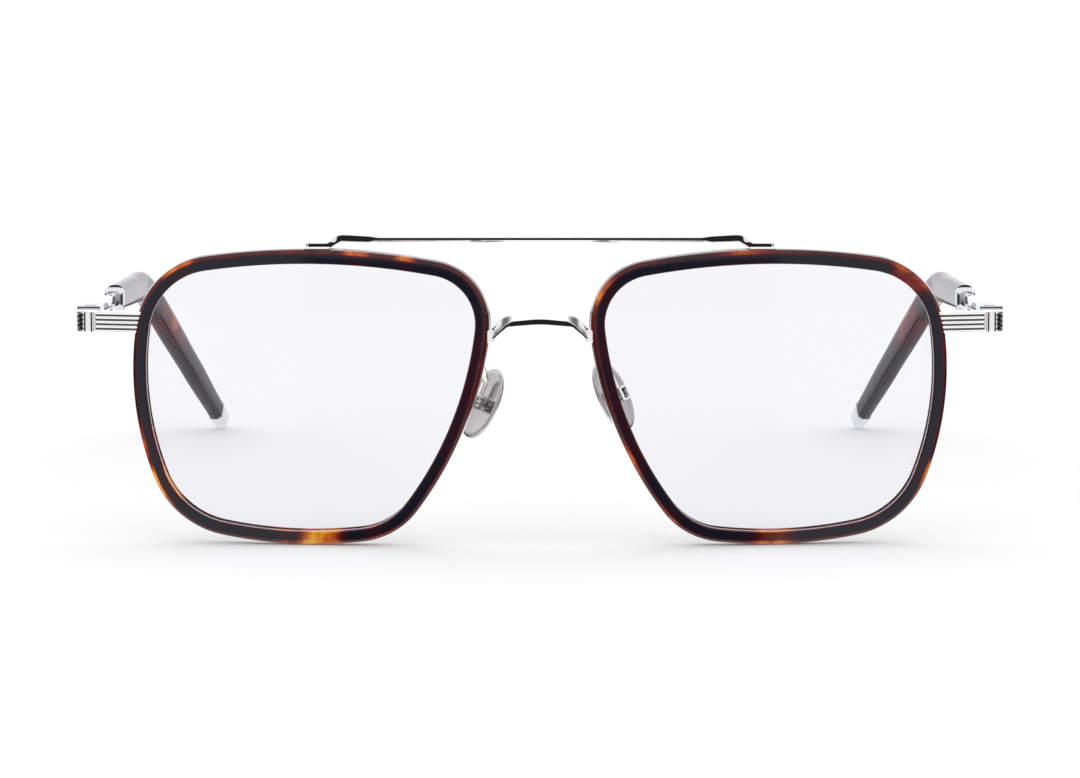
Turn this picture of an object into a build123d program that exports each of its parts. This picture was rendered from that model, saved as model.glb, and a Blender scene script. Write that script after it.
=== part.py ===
"""Full-rim eyeglasses: metal eyewires with acetate insert rings, a saddle bridge and a brow bar.

Millimetres. +X is right as seen from the front, the front faces -Y, the temples run back along
+Y and +Z is up. The origin is under the middle of the object, on the surface it stands on.
The right-hand pieces (+X) are modelled and the left-hand ones are their mirror images, except
for the nose pads, which are bent by hand and stand a little differently on each side.
"""

import os
from math import cos, radians, sin, sqrt, tan

from build123d import *

os.makedirs("parts", exist_ok=True)

# ---------------------------------------------------------------- driving dimensions

# Lens opening, about the middle of its box, x outward from the nose and v upward.
TOP_TEMPLE = (23.79, 18.44)
TOP_NOSE = (-25.06, 18.02)
LOW_NOSE = (-11.35, -19.23)
LOW_TEMPLE = (20.29, -17.85)
SIDE_RADII = (99.0, 55.9, 72.8, 45.7)  # top, nose, bottom and temple side
CORNER_RADII = (10.7, 7.7, 10.0, 11.8)  # in the order of the four corners above
OPENING_BOTTOM = -20.36  # lowest point of the opening

EYE_X = 34.85  # middle of each lens from the middle of the frame
FRONT_LEAN = 3.0  # degrees that the top of the front leans forward
WRAP = 4.5  # degrees that each lens turns back toward its temple
APEX = 0.7  # how far the lens apex stands in front of the rims' nose edges
FRONT_Y = -68.2  # where the foot of the front stands

# Section of the rim, outward from the opening and back from the front sphere.
FRONT_RADIUS = 131.0
RING_WIDTH = 2.1
RING_SPIGOT_WIDTH = 1.2
FLANGE_DEPTH = 1.7
RING_DEPTH = 3.3
WIRE_DEPTH = 1.4
WIRE_PROUD = 0.15  # the eyewire's outer face outside the acetate's
LENS_SET_BACK = 1.1
LENS_THICKNESS = 1.8
LENS_BITE = 0.6  # how far the lens edge reaches into the ring
LENS_BEVEL = 0.5
RING_BEVEL = (0.45, 0.4)  # outer front bevel, across the front and down the side
RING_INNER_ROUND = 0.3
FIT = 0.03  # clearance of fitted pieces
SPARE = 3.0  # how far a cutting shape runs past what it cuts
RIM_REACH = 12.0  # more than the depth of the curved rim on either side of its plane

# Bridge: points of half its centre line, x outward, v up and w forward, in the front's plane.
BRIDGE_HALF = ((8.9, 32.6, -2.3), (7.3, 32.8, -2.0), (5.0, 34.7, -1.5), (0.0, 35.1, -1.4))
BRIDGE_ROUNDS = (1.5, 2.4, 20.0)
# Sections of the bridge: share of the way across, height and depth.
BRIDGE_SECTIONS = ((0.0, 1.5, 1.4), (0.2, 1.5, 1.5), (0.5, 2.6, 1.7), (0.8, 1.5, 1.5), (1.0, 1.5, 1.4))

# Brow bar: upper and lower edge from the middle to the foot, x outward and v up.
BAR_TOP = ((0.0, 47.75), (24.5, 47.75), (26.0, 48.2), (30.7, 48.2), (32.3, 46.9), (35.8, 46.9))
BAR_BOTTOM = ((35.8, 45.2), (32.0, 45.2), (30.2, 46.8), (26.0, 46.8), (24.5, 46.8), (0.0, 46.8))
BAR_FRONT = -2.2
BAR_DEPTH = 2.0

# End piece and temple hinge.
END_HEIGHT = 3.4
END_V = 34.05
END_X = 71.35
END_INNER = 60.2
END_FRONT = 4.8  # how far the end piece's face starts behind the front plane
END_SWEEP = 7.0  # degrees that its face turns back toward the temple
END_THICKNESS = 1.9
END_BACK = 8.5
END_ROUND = 1.3
GROOVE_OFFSETS = (-1.05, -0.35, 0.35, 1.05)  # from the middle of the end piece's height
GROOVE_HEIGHT = 0.36
GROOVE_DEPTH = 0.3
GROOVE_END = 2.95  # from the outer end of the face
COLLAR_MIDDLE = 2.0  # from the outer end of the face
COLLAR_WIDTH = 1.3
COLLAR_PROUD = 0.12
COLLAR_ROUND = 0.3
HINGE_X = 69.6
HINGE_BACK = 11.5
HINGE_HEIGHT = 3.3
KNUCKLE_RADIUS = 1.75
KNUCKLE_HALF = 0.57  # half the height of the leaf's knuckle
SLOT_HALF = 0.62  # half the height of the slot it turns in
SLOT_CLEAR = 0.15  # from the knuckle to the bottom of the slot
BLOCK_BITE = 0.3  # the block runs on this far before the end piece trims it
PIN_RADIUS = 0.47
PIN_HEAD_RADIUS = 0.95
PIN_HEAD_HEIGHT = 0.5
PIN_PROUD = 0.05
LEAF_START = 2.0  # the leaf's full height starts this far behind the pin
LEAF_END = 9.0
LEAF_WIDTH = 2.7
LEAF_HEIGHT = 3.1

# Screw slots, as shares of the head's radius and height.
SLOT_WIDTH = 0.3
SLOT_DEPTH = 0.5

# Rim lock behind the end piece.
LUG_WIDTH = 4.8
LUG_MIDDLE = 63.5
LUG_HEIGHT = 3.4
LUG_DEPTH = 2.4
LUG_ROUND = 0.5
RIM_SPLIT = 0.3
LOCK_X = 64.6
LOCK_RADIUS = 0.5
LOCK_HEAD_RADIUS = 0.85
LOCK_HEAD_HEIGHT = 0.6

# Temple, along its own line: x outward, u back from the hinge pin and h up.
TEMPLE_SLOPE = 3.0  # degrees that the temple line drops toward the back
SLEEVE_START = (0.25, 50.0, 0.0)
KNEE = (-1.2, 91.0, 0.0)
TIP = (-12.6, 129.5, -26.8)
KNEE_RADIUS = 24.0
CORE_RADIUS = 0.6
CORE_SHORT = 5.0  # how far the core wire ends before the sleeve does
# Sections: share of the way from the sleeve to the hinge leaf, height and thickness.
BAR_SECTIONS = ((0.0, 2.1, 1.4), (0.4, 2.2, 1.5), (0.8, 2.4, 1.7), (1.0, 3.0, 2.4))
# Sections: share of the way from the ferrule to the cap, height and thickness.
SLEEVE_SECTIONS = (
    (0.0, 4.3, 3.0),
    (0.25, 4.7, 3.0),
    (0.45, 5.3, 3.1),
    (0.62, 5.3, 3.0),
    (0.82, 4.6, 2.8),
    (1.0, 3.7, 2.5),
)
SECTION_ROUND = 0.47  # corner radius of these sections as a share of their thickness
FERRULE_LENGTH = 2.4
FERRULE_HEIGHT = 3.6
FERRULE_WIDTH = 3.2
FERRULE_ROUND = 0.5
FERRULE_CHAMFER = 0.25
CAP_LENGTH = 4.2
CAP_HEIGHT = 3.9
CAP_WIDTH = 2.7
CAP_TAPER = 4.0  # degrees
CAP_ROUND = 0.85

# Nose pads: centre of each pad (x outward, y from the front, z).
PAD_CENTRES = {"left": (8.4, 8.6, 20.9), "right": (10.9, 8.6, 22.1)}
PAD_SPLAY = 42.0  # degrees that the pads open toward the back
PAD_TILT = 25.0  # degrees that they open toward the bottom
PAD_WIDTH = 6.6
PAD_LENGTH = 11.6
PAD_THICKNESS = 1.1
PAD_FACE_ROUND = 0.5
PAD_BACK_ROUND = 0.3
LUG_REACH = 1.8  # how far the pad's lug stands out behind it
PAD_LUG = (0.85, 1.2)  # width and height, as for the box
PAD_BOX = (1.65, 2.2)
PAD_BOX_WALL = 0.3
PAD_BOX_ROUND = 0.2
PAD_BOX_GAP = 0.4
PAD_BOX_LENGTH = 1.9
PAD_PIVOT = 2.1  # pad screw behind the pad's face
PAD_SCREW_RADIUS = 0.3
PAD_SCREW_HEAD = (0.55, 0.35)  # radius and height
ARM_RADIUS = 0.45
ARM_START = (9.05, 27.9, -2.7)  # in the front's plane, inside the rim
ARM_SETBACK = 3.4  # how far the arm runs straight back from there
ARM_RISE = 2.6  # how far above the box it turns down
ARM_ROUND = 1.2

# ---------------------------------------------------------------- planes

lean = radians(FRONT_LEAN)
EYE_V = RING_WIDTH - OPENING_BOTTOM
FRONT = Plane(origin=(0, FRONT_Y, 0.0), x_dir=(1, 0, 0), z_dir=(0, -cos(lean), -sin(lean)))

wrap = radians(WRAP)
eye_origin = FRONT.from_local_coords((EYE_X, EYE_V, APEX))
eye_normal = FRONT.z_dir * cos(wrap) + FRONT.x_dir * sin(wrap)
eye_across = FRONT.x_dir * cos(wrap) - FRONT.z_dir * sin(wrap)
EYE = Plane(origin=eye_origin, x_dir=eye_across, z_dir=eye_normal)
SPHERE_CENTRE = EYE.from_local_coords((0, 0, -FRONT_RADIUS))

end_middle = FRONT.from_local_coords((0, END_V, 0))
END_PLAN = Plane(origin=end_middle, x_dir=(1, 0, 0), z_dir=FRONT.y_dir)  # local y runs back
end_sweep = radians(END_SWEEP)
end_corner = END_FRONT + (END_X - END_INNER) * tan(end_sweep)  # the face's outer end, behind the front
END_FACE = Plane(
    origin=FRONT.from_local_coords((END_X, END_V, -end_corner)),
    x_dir=FRONT.x_dir * cos(end_sweep) - FRONT.z_dir * sin(end_sweep),
    z_dir=FRONT.z_dir * cos(end_sweep) + FRONT.x_dir * sin(end_sweep),
)
lug_front = END_FRONT + END_THICKNESS
lock_point = FRONT.from_local_coords((LOCK_X, END_V + LUG_HEIGHT / 2, -lug_front - LUG_DEPTH / 2))
LOCK_TOP = Plane(origin=lock_point, x_dir=(1, 0, 0), z_dir=FRONT.y_dir)

slope = radians(TEMPLE_SLOPE)
hinge_point = FRONT.from_local_coords((HINGE_X, END_V, -HINGE_BACK))
HINGE = Plane(origin=hinge_point, x_dir=(1, 0, 0), z_dir=(0, sin(slope), cos(slope)))


def side_centre(start, end, radius):
    """Centre of the arc that bulges outward from start to end, going anticlockwise."""
    chord = Vector(*end) - Vector(*start)
    inward = Vector(-chord.Y, chord.X).normalized()
    middle = (Vector(*start) + Vector(*end)) / 2
    return middle + inward * sqrt(radius**2 - (chord.length / 2) ** 2)


def opening(grow):
    """Right lens opening moved outward by grow: four discs' common part with rounded corners."""
    corners = (TOP_TEMPLE, TOP_NOSE, LOW_NOSE, LOW_TEMPLE)
    with BuildSketch() as outline:
        for index, radius in enumerate(SIDE_RADII):
            with Locations(side_centre(corners[index], corners[(index + 1) % 4], radius)):
                Circle(radius + grow, mode=Mode.INTERSECT if index else Mode.ADD)
        for corner, radius in zip(corners, CORNER_RADII):
            fillet(outline.vertices().sort_by_distance(corner)[0], radius + grow)
    return outline.sketch


def rim_shell(inner, outer, front, back):
    """Part between two offsets of the opening, and between two depths behind the front."""
    with BuildPart() as shell:
        with BuildSketch(EYE):
            add(opening(outer))
            if inner is not None:
                add(opening(inner), mode=Mode.SUBTRACT)
        extrude(amount=RIM_REACH, both=True)
        with Locations(SPHERE_CENTRE):
            Sphere(FRONT_RADIUS - front, mode=Mode.INTERSECT)
            Sphere(FRONT_RADIUS - back, mode=Mode.SUBTRACT)
    return shell.part


def front_edges(rim, inner=False):
    """Edges round the front face of a rim piece, on its outside or round its opening."""
    face = rim.faces().filter_by(GeomType.SPHERE).sort_by(Axis.Y)[0]
    return (face.inner_wires()[0] if inner else face.outer_wire()).edges()


def bar_along(path, sections, up):
    """Rounded bar swept along a path through its (share of path, height, thickness) sections."""
    with BuildPart() as bar:
        for share, height, thickness in sections:
            with BuildSketch(section_plane(path, share, up)):
                RectangleRounded(thickness, height, SECTION_ROUND * thickness)
        sweep(path=path, multisection=True)
    return bar.part


def slotted_screw(plane, radius, length, head_radius, head_height):
    """Screw with the top of its slotted head on plane and its shank running down from it."""
    with BuildPart() as screw:
        with BuildSketch(plane):
            Circle(head_radius)
        extrude(amount=-head_height)
        with BuildSketch(plane):
            Circle(radius)
        extrude(amount=-length)
        with BuildSketch(plane):
            Rectangle(3 * head_radius, SLOT_WIDTH * head_radius)
        extrude(amount=-SLOT_DEPTH * head_height, mode=Mode.SUBTRACT)
    return screw


def section_plane(path, position, up):
    """Plane across a path, with its local y direction as near to up as it can be."""
    along = path % position
    return Plane(origin=path @ position, x_dir=up.cross(along), z_dir=along)


def finish(piece, name):
    """Label a finished piece and write it."""
    piece.part.label = name
    export_step(piece.part, f"parts/{name}.step")


def finish_pair(piece, name):
    """Write a right-hand piece and its mirror image for the left."""
    finish(piece, f"{name}_right")
    with BuildPart() as twin:
        mirror(piece.part, about=Plane.YZ)
    finish(twin, f"{name}_left")


# ---------------------------------------------------------------- rims

lens_back = LENS_SET_BACK + LENS_THICKNESS
wire_back = FLANGE_DEPTH + WIRE_DEPTH

with BuildPart() as lens:
    add(rim_shell(None, LENS_BITE, LENS_SET_BACK, lens_back))
    chamfer(lens.faces().filter_by(GeomType.SPHERE).edges(), length=LENS_BEVEL)
finish_pair(lens, "lens")

with BuildPart() as groove:
    add(rim_shell(None, LENS_BITE + FIT, LENS_SET_BACK - FIT, lens_back + FIT))
    chamfer(groove.faces().filter_by(GeomType.SPHERE).edges(), length=LENS_BEVEL)

with BuildPart() as windsor_ring:
    add(rim_shell(0.0, RING_WIDTH, 0.0, FLANGE_DEPTH))
    chamfer(front_edges(windsor_ring), length=RING_BEVEL[0], length2=RING_BEVEL[1])
    fillet(front_edges(windsor_ring, inner=True), RING_INNER_ROUND)
    add(rim_shell(0.0, RING_SPIGOT_WIDTH, FLANGE_DEPTH, RING_DEPTH))
    add(groove.part, mode=Mode.SUBTRACT)
finish_pair(windsor_ring, "windsor_ring")

# The eyewire is split behind the end piece, between two lugs that a screw pulls together.
with BuildPart() as eyewire:
    add(rim_shell(RING_SPIGOT_WIDTH + FIT, RING_WIDTH + WIRE_PROUD, FLANGE_DEPTH + FIT, wire_back))
    with BuildSketch(FRONT.offset(-lug_front)):
        with Locations((LUG_MIDDLE, END_V)):
            RectangleRounded(LUG_WIDTH, LUG_HEIGHT, LUG_ROUND)
    extrude(amount=-LUG_DEPTH)
    with BuildSketch(FRONT.offset(-lug_front)):
        with Locations((LUG_MIDDLE, END_V)):
            Rectangle(2 * LUG_WIDTH, RIM_SPLIT)
    extrude(amount=2 * LUG_DEPTH, both=True, mode=Mode.SUBTRACT)
    add(rim_shell(None, RING_WIDTH + FIT, 0.0, FLANGE_DEPTH + FIT), mode=Mode.SUBTRACT)
    add(rim_shell(None, RING_SPIGOT_WIDTH + FIT, 0.0, RING_DEPTH + SPARE), mode=Mode.SUBTRACT)
    with BuildSketch(LOCK_TOP):
        Circle(LOCK_RADIUS + FIT)
    extrude(amount=-LUG_HEIGHT, mode=Mode.SUBTRACT)
    with BuildSketch(LOCK_TOP):
        Circle(LOCK_HEAD_RADIUS + FIT)
    extrude(amount=-LOCK_HEAD_HEIGHT, mode=Mode.SUBTRACT)
finish_pair(eyewire, "eyewire")

rim_lock_screw = slotted_screw(
    LOCK_TOP, LOCK_RADIUS, LUG_HEIGHT, LOCK_HEAD_RADIUS, LOCK_HEAD_HEIGHT - FIT
)
finish_pair(rim_lock_screw, "rim_lock_screw")

# ---------------------------------------------------------------- bridge and brow bar

# What is joined to the rims is trimmed to their outside.
rim_plug = rim_shell(None, RING_WIDTH + WIRE_PROUD, -SPARE, RING_DEPTH + SPARE)

bridge_points = [*BRIDGE_HALF, *[(-x, v, w) for x, v, w in reversed(BRIDGE_HALF[:-1])]]
bridge_rounds = [*BRIDGE_ROUNDS, *reversed(BRIDGE_ROUNDS[:-1])]

with BuildPart() as bridge:
    with BuildLine(FRONT) as saddle:
        FilletPolyline(*bridge_points, radius=bridge_rounds)
    add(bar_along(saddle.wire(), BRIDGE_SECTIONS, FRONT.y_dir))
    add(rim_plug, mode=Mode.SUBTRACT)
    mirror(rim_plug, about=Plane.YZ, mode=Mode.SUBTRACT)
finish(bridge, "bridge")

with BuildPart() as brow_bar:
    with BuildSketch(FRONT.offset(BAR_FRONT)):
        with BuildLine():
            Polyline(*BAR_TOP, *BAR_BOTTOM, close=True)
        make_face()
        mirror(about=Plane.YZ)
    extrude(amount=-BAR_DEPTH)
    add(rim_plug, mode=Mode.SUBTRACT)
    mirror(rim_plug, about=Plane.YZ, mode=Mode.SUBTRACT)
finish(brow_bar, "brow_bar")

# ---------------------------------------------------------------- end pieces and hinges

arm_thickness = 2 * KNUCKLE_RADIUS

with BuildPart() as end_piece:
    with BuildSketch(END_PLAN.offset(-END_HEIGHT / 2)) as end_plan:
        with BuildLine():
            Polyline(
                (END_INNER, END_FRONT),
                (END_X, end_corner),
                (END_X, END_BACK),
                (END_X - arm_thickness, END_BACK),
                (END_X - arm_thickness, end_corner + END_THICKNESS / 2),
                (LUG_MIDDLE + LUG_WIDTH / 2, lug_front),
                (END_INNER, lug_front),
                close=True,
            )
        make_face()
        fillet(end_plan.vertices().sort_by_distance((END_X, end_corner))[0], END_ROUND)
    extrude(amount=END_HEIGHT)
    with BuildSketch(END_FACE.offset(-COLLAR_PROUD)):
        with Locations((-COLLAR_MIDDLE, 0)):
            RectangleRounded(COLLAR_WIDTH, END_HEIGHT, COLLAR_ROUND)
    extrude(amount=2 * COLLAR_PROUD)
    for offset_v in GROOVE_OFFSETS:
        with BuildSketch(END_FACE):
            with Locations((-GROOVE_END, offset_v)):
                groove_length = END_X - END_INNER
                Rectangle(groove_length, GROOVE_HEIGHT, align=(Align.MAX, Align.CENTER))
        extrude(amount=-GROOVE_DEPTH, mode=Mode.SUBTRACT)
        with BuildSketch(END_PLAN.offset(offset_v - GROOVE_HEIGHT / 2)):
            with Locations((END_X, end_corner)):
                Rectangle(2 * GROOVE_DEPTH, END_BACK, align=(Align.CENTER, Align.MIN))
        extrude(amount=GROOVE_HEIGHT, mode=Mode.SUBTRACT)
    add(rim_plug, mode=Mode.SUBTRACT)
finish_pair(end_piece, "end_piece")

with BuildPart() as hinge_block:
    with BuildSketch(HINGE.offset(-HINGE_HEIGHT / 2)):
        Circle(KNUCKLE_RADIUS)
        block_length = HINGE_BACK - END_BACK + BLOCK_BITE
        Rectangle(2 * KNUCKLE_RADIUS, block_length, align=(Align.CENTER, Align.MAX))
    extrude(amount=HINGE_HEIGHT)
    with BuildSketch(HINGE.offset(-SLOT_HALF)):
        with Locations((0, -KNUCKLE_RADIUS - SLOT_CLEAR)):
            Rectangle(4 * KNUCKLE_RADIUS, 4 * KNUCKLE_RADIUS, align=(Align.CENTER, Align.MIN))
    extrude(amount=2 * SLOT_HALF, mode=Mode.SUBTRACT)
    with BuildSketch(HINGE.offset(HINGE_HEIGHT / 2)):
        Circle(PIN_RADIUS + FIT)
    extrude(amount=-HINGE_HEIGHT, mode=Mode.SUBTRACT)
    with BuildSketch(HINGE.offset(HINGE_HEIGHT / 2)):
        Circle(PIN_HEAD_RADIUS + FIT)
    extrude(amount=-PIN_HEAD_HEIGHT, mode=Mode.SUBTRACT)
    add(end_piece.part, mode=Mode.SUBTRACT)
finish_pair(hinge_block, "hinge_block")

hinge_screw = slotted_screw(
    HINGE.offset(HINGE_HEIGHT / 2 + PIN_PROUD),
    PIN_RADIUS,
    HINGE_HEIGHT,
    PIN_HEAD_RADIUS,
    PIN_HEAD_HEIGHT,
)
finish_pair(hinge_screw, "hinge_screw")

with BuildPart() as hinge_leaf:
    with BuildSketch(HINGE.offset(-KNUCKLE_HALF)):
        Circle(KNUCKLE_RADIUS)
        Rectangle(LEAF_WIDTH, LEAF_END, align=(Align.CENTER, Align.MIN))
    extrude(amount=2 * KNUCKLE_HALF)
    with BuildSketch(HINGE.offset(-LEAF_HEIGHT / 2)):
        with Locations((0, LEAF_START)):
            Rectangle(LEAF_WIDTH, LEAF_END - LEAF_START, align=(Align.CENTER, Align.MIN))
    extrude(amount=LEAF_HEIGHT)
    with BuildSketch(HINGE.offset(KNUCKLE_HALF)):
        Circle(PIN_RADIUS + FIT)
    extrude(amount=-2 * KNUCKLE_HALF, mode=Mode.SUBTRACT)
finish_pair(hinge_leaf, "hinge_leaf")

# ---------------------------------------------------------------- temples

leaf_end = HINGE.from_local_coords(Vector(0, LEAF_END, 0))
sleeve_start = HINGE.from_local_coords(Vector(*SLEEVE_START))
knee = HINGE.from_local_coords(Vector(*KNEE))
tip = HINGE.from_local_coords(Vector(*TIP))
forward = (knee - tip).normalized()
sleeve_end = tip + forward * CAP_LENGTH
core_end = sleeve_end + forward * CORE_SHORT

with BuildLine() as bar_line:
    TangentArc(sleeve_start, leaf_end, tangent=sleeve_start - knee)
with BuildLine() as sleeve_line:
    FilletPolyline(sleeve_start, knee, sleeve_end, radius=KNEE_RADIUS)
with BuildLine() as core_line:
    FilletPolyline(sleeve_start, knee, core_end, radius=KNEE_RADIUS)
bar_path = bar_line.wire()
sleeve_path = sleeve_line.wire()
core_path = core_line.wire()

with BuildPart() as temple:
    add(bar_along(bar_path, BAR_SECTIONS, HINGE.z_dir))
    with BuildSketch(section_plane(core_path, 0, HINGE.z_dir)):
        Circle(CORE_RADIUS)
    sweep(path=core_path)
    add(hinge_leaf.part, mode=Mode.SUBTRACT)
finish_pair(temple, "temple")

with BuildPart() as ferrule:
    with BuildSketch(section_plane(sleeve_path, 0, HINGE.z_dir)):
        RectangleRounded(FERRULE_WIDTH, FERRULE_HEIGHT, FERRULE_ROUND)
    extrude(amount=-FERRULE_LENGTH)
    chamfer(ferrule.faces().sort_by(Axis.Y)[0].edges(), length=FERRULE_CHAMFER)
    add(temple.part, mode=Mode.SUBTRACT)
finish_pair(ferrule, "ferrule")

with BuildPart() as temple_tip:
    add(bar_along(sleeve_path, SLEEVE_SECTIONS, HINGE.z_dir))
    with BuildSketch(section_plane(sleeve_path, 0, HINGE.z_dir)):
        Circle(CORE_RADIUS + FIT)
    sweep(path=sleeve_path, mode=Mode.SUBTRACT)
finish_pair(temple_tip, "temple_tip")

with BuildPart() as tip_cap:
    with BuildSketch(section_plane(sleeve_path, 1, HINGE.z_dir)):
        RectangleRounded(CAP_WIDTH, CAP_HEIGHT, SECTION_ROUND * CAP_WIDTH)
    extrude(amount=CAP_LENGTH, taper=CAP_TAPER)
    fillet(tip_cap.faces().sort_by(Axis.Y)[-1].edges(), CAP_ROUND)
finish_pair(tip_cap, "tip_cap")

# ---------------------------------------------------------------- nose pads


def pad_plane(centre):
    """Plane on the middle of a right-hand pad's face, facing the nose, with y up the pad."""
    splay = radians(PAD_SPLAY)
    tilt = radians(PAD_TILT)
    facing = Vector(-cos(splay) * cos(tilt), sin(splay), -cos(splay) * sin(tilt))
    upward = Vector(-sin(tilt), 0, cos(tilt))
    x, y, z = centre
    return Plane(origin=(x, FRONT_Y + y, z), x_dir=upward.cross(facing), z_dir=facing)


def pad_set(side):
    """Pad, box, arm and screw of one side, made as right-hand pieces."""
    face = pad_plane(PAD_CENTRES[side])
    pivot_origin = face.from_local_coords((PAD_BOX[0] / 2, 0, -PAD_PIVOT))
    screw_plane = Plane(origin=pivot_origin, x_dir=face.z_dir, z_dir=face.x_dir)

    with BuildPart() as nose_pad:
        with BuildSketch(face):
            Ellipse(PAD_WIDTH / 2, PAD_LENGTH / 2)
        extrude(amount=-PAD_THICKNESS)
        rim_edges = nose_pad.edges().sort_by(Axis(face.origin, face.z_dir))
        fillet(rim_edges[-1], PAD_FACE_ROUND)
        fillet(nose_pad.edges().sort_by(Axis(face.origin, face.z_dir))[0], PAD_BACK_ROUND)
        with BuildSketch(face.offset(-PAD_THICKNESS)):
            Rectangle(*PAD_LUG)
        extrude(amount=-LUG_REACH)
        with BuildSketch(screw_plane):
            Circle(PAD_SCREW_RADIUS + FIT)
        extrude(amount=-PAD_BOX[0], mode=Mode.SUBTRACT)

    with BuildPart() as pad_box:
        with BuildSketch(face.offset(-PAD_THICKNESS - PAD_BOX_GAP)):
            RectangleRounded(*PAD_BOX, PAD_BOX_ROUND)
            Rectangle(PAD_BOX[0] - 2 * PAD_BOX_WALL, PAD_BOX[1] - 2 * PAD_BOX_WALL, mode=Mode.SUBTRACT)
        extrude(amount=-PAD_BOX_LENGTH)
        with BuildSketch(screw_plane):
            Circle(PAD_SCREW_RADIUS + FIT)
        extrude(amount=-PAD_BOX[0], mode=Mode.SUBTRACT)

    head_radius, head_height = PAD_SCREW_HEAD
    pad_screw = slotted_screw(
        screw_plane.offset(head_height),
        PAD_SCREW_RADIUS,
        PAD_BOX[0] + head_height,
        head_radius,
        head_height,
    )

    box_top = face.from_local_coords((0, PAD_BOX[1] / 2, -PAD_PIVOT))
    arm_start = FRONT.from_local_coords(ARM_START)
    with BuildPart() as pad_arm:
        with BuildLine() as arm_line:
            FilletPolyline(
                arm_start,
                arm_start + (0, ARM_SETBACK, 0),
                box_top + face.y_dir * ARM_RISE,
                box_top,
                radius=ARM_ROUND,
            )
        with BuildSketch(section_plane(arm_line.wire(), 0, FRONT.y_dir)):
            Circle(ARM_RADIUS)
        sweep(path=arm_line.wire())
        add(eyewire.part, mode=Mode.SUBTRACT)
        add(windsor_ring.part, mode=Mode.SUBTRACT)
    return {"nose_pad": nose_pad, "pad_box": pad_box, "pad_screw": pad_screw, "pad_arm": pad_arm}


for name, piece in pad_set("right").items():
    finish(piece, f"{name}_right")
for name, piece in pad_set("left").items():
    with BuildPart() as twin:
        mirror(piece.part, about=Plane.YZ)
    finish(twin, f"{name}_left")
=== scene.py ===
"""Full-rim eyeglasses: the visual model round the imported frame, with its studio.

Lengths are millimetres unless a name says otherwise, and MM turns them into metres. +X is right
as seen from the front, the front faces -Y and +Z is up. Paired pieces are made for the right and
mirrored for the left.
"""

from math import acos, atan2, ceil, cos, exp, pi, radians, sin, sqrt, tan, tau

import bmesh
import bpy
from mathutils import Matrix, Vector


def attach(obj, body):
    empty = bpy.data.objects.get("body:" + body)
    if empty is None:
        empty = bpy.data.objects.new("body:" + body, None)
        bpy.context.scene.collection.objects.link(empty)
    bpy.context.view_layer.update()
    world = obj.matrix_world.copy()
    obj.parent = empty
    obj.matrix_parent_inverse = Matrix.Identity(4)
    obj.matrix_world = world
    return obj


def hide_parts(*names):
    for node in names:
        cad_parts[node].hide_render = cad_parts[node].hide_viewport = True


MM = 0.001

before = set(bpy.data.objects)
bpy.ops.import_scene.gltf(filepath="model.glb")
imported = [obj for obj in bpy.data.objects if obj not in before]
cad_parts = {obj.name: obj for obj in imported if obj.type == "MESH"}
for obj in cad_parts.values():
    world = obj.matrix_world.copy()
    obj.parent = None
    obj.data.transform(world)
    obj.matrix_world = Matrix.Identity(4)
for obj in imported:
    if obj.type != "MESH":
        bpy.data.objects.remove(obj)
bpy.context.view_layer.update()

# ---------------------------------------------------------------- driving dimensions

# Lens opening, about the middle of its box, x outward from the nose and v upward.
CORNERS = ((23.79, 18.44), (-25.06, 18.02), (-11.35, -19.23), (20.29, -17.85))
SIDE_RADII = (99.0, 55.9, 72.8, 45.7)  # top, nose, bottom and temple side
CORNER_RADII = (10.7, 7.7, 10.0, 11.8)
OPENING_BOTTOM = -20.36

# Front: its planes and its curve. Angles are in degrees.
EYE_X = 34.85
FRONT_LEAN = 3.0
WRAP = 4.5
APEX = 0.7  # how far the middle of each lens stands forward of the front's plane
FRONT_Y = -68.2
FRONT_RADIUS = 131.0  # of the sphere that each lens and ring follows

# Acetate rings, eyewires and lenses: widths outward from the opening, depths behind the sphere.
RING_WIDTH = 2.1
RING_BEVEL = (0.45, 0.4)  # across the front face and down the outer side
SPIGOT_WIDTH = 1.2
FLANGE_DEPTH = 1.7
RING_DEPTH = 3.3
WIRE_DEPTH = 1.4
WIRE_PROUD = 0.15
LENS_FRONT = 1.1
LENS_BACK = 2.9
LENS_BITE = 0.6
LENS_BEVEL = 0.5
FIT = 0.03  # gap between pieces that touch

# Bridge: half its centre line from the rim inward, in the front's plane (x, v, w forward).
BRIDGE_HALF = ((8.2, 32.55, -1.6), (7.35, 32.65, -1.55), (5.15, 34.75, -1.45), (0.0, 35.1, -1.4))
BRIDGE_ROUNDS = (0.6, 1.6, 30.0)
# Its sections: share of the way across, height, depth, and the lower and upper edge of the
# narrow front facet as shares of the height.
BRIDGE_SECTIONS = (
    (0.0, 1.5, 1.4, -0.36, -0.14),
    (0.1, 1.5, 1.4, -0.36, -0.14),
    (0.2, 1.8, 1.5, -0.34, -0.1),
    (0.28, 2.45, 1.6, -0.24, 0.08),
    (0.5, 2.6, 1.7, -0.2, 0.12),
)
BRIDGE_EDGE = 0.12  # rounding of the edges between facets
BRIDGE_FOOT = (7.75, 32.6, -1.4)  # middle of the foot on the right-hand rim
BRIDGE_FOOT_SIZE = (1.15, 1.95, 1.3)
BRIDGE_FOOT_ROUND = 0.2
BRIDGE_FOOT_TURN = -14.0  # degrees that each foot faces in toward the middle

# Brow bar: its centre line in (x, v), from the end of the straight middle outward.
BAR_HALF = ((24.5, 47.3), (30.5, 47.55), (32.2, 46.45), (35.4, 46.45))
BAR_ROUNDS = (6.0, 1.2, 1.2)
BAR_FRONT = -2.2
BAR_DEPTH = 2.0
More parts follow.
